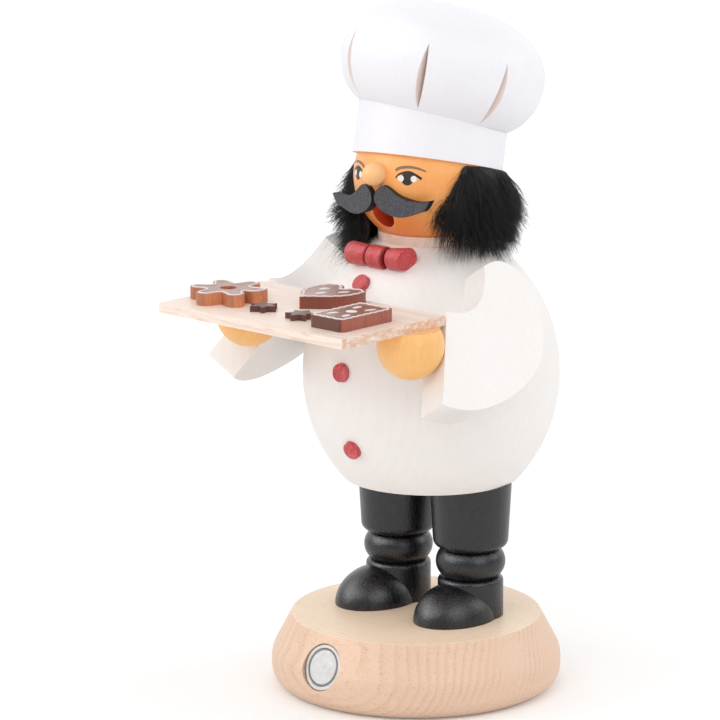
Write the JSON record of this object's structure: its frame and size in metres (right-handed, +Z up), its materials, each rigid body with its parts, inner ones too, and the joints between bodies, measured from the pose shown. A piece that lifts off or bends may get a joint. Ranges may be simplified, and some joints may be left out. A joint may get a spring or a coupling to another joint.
{
  "type": "incense smoker figure",
  "caption": "Turned wooden incense smoker: a moustached pastry cook holding a board of gingerbread, whose body lifts off a plug that carries the incense cone.",
  "frame": {"origin": "centre of the base's underside, which is the face the figure stands on", "axes": "+Z up; the figure faces -Y and its left hand is towards +X"},
  "size_m": [0.0942, 0.1062, 0.1898],
  "materials": {
    "base_wood": "clear matt lacquer on beech",
    "badge_metal": "dull antique silver",
    "black_lacquer": "black stain under satin lacquer",
    "inner_wood": "bare turned wood",
    "dish_metal": "thin tinned sheet",
    "incense": "pressed charcoal and wood powder, matt",
    "coat_white": "warm white matt paint",
    "neck_wood": "bare turned wood",
    "skin": "orange stain under matt lacquer",
    "nose_stain": "pale orange stain under matt lacquer",
    "hand_stain": "pale orange stain under matt lacquer",
    "moustache_stain": "dark grey stain, matt",
    "fur": "black long-haired fur",
    "hat_white": "cool white matt paint",
    "red_stain": "red stain, rubbed at the faces",
    "board_wood": "bare sawn wood",
    "gingerbread": "hardened modelling dough with pale icing",
    "dark_gingerbread": "hardened modelling dough with pale icing"
  },
  "bodies": {
    "stand": {"base": "base_wood", "badge_plate": "badge_metal", "left_leg": "black_lacquer", "right_leg": "black_lacquer", "left_boot_toe": "black_lacquer", "right_boot_toe": "black_lacquer", "waist_plug": "inner_wood", "cone_dish": "dish_metal", "dish_nail": "dish_metal"},
    "cone": {"incense_cone": "incense"},
    "figure": {"body": "coat_white", "neck_ring": "neck_wood", "head": "skin", "nose": "nose_stain", "left_moustache": "moustache_stain", "right_moustache": "moustache_stain", "wig": "fur", "hat_band": "hat_white", "hat_crown": "hat_white", "hat_dowel": "inner_wood", "bow_left": "red_stain", "bow_knot": "red_stain", "bow_right": "red_stain", "left_arm": "coat_white", "right_arm": "coat_white", "left_arm_dowel": "inner_wood", "right_arm_dowel": "inner_wood", "left_hand": "hand_stain", "right_hand": "hand_stain", "board": "board_wood", "flower_biscuit": "gingerbread", "heart_biscuit": "gingerbread", "slab_biscuit": "dark_gingerbread", "left_star_biscuit": "dark_gingerbread", "right_star_biscuit": "dark_gingerbread", "top_button": "red_stain", "middle_button": "red_stain", "bottom_button": "red_stain"}
  },
  "joints": [
    {"name": "body_lift", "type": "slide", "parent": "stand", "child": "figure", "axis": [0, 0, 1], "range_m": [0, 0.06]},
    {"name": "cone_lift", "type": "slide", "parent": "stand", "child": "cone", "axis": [0, 0, 1], "range_m": [0, 0.01]}
  ]
}
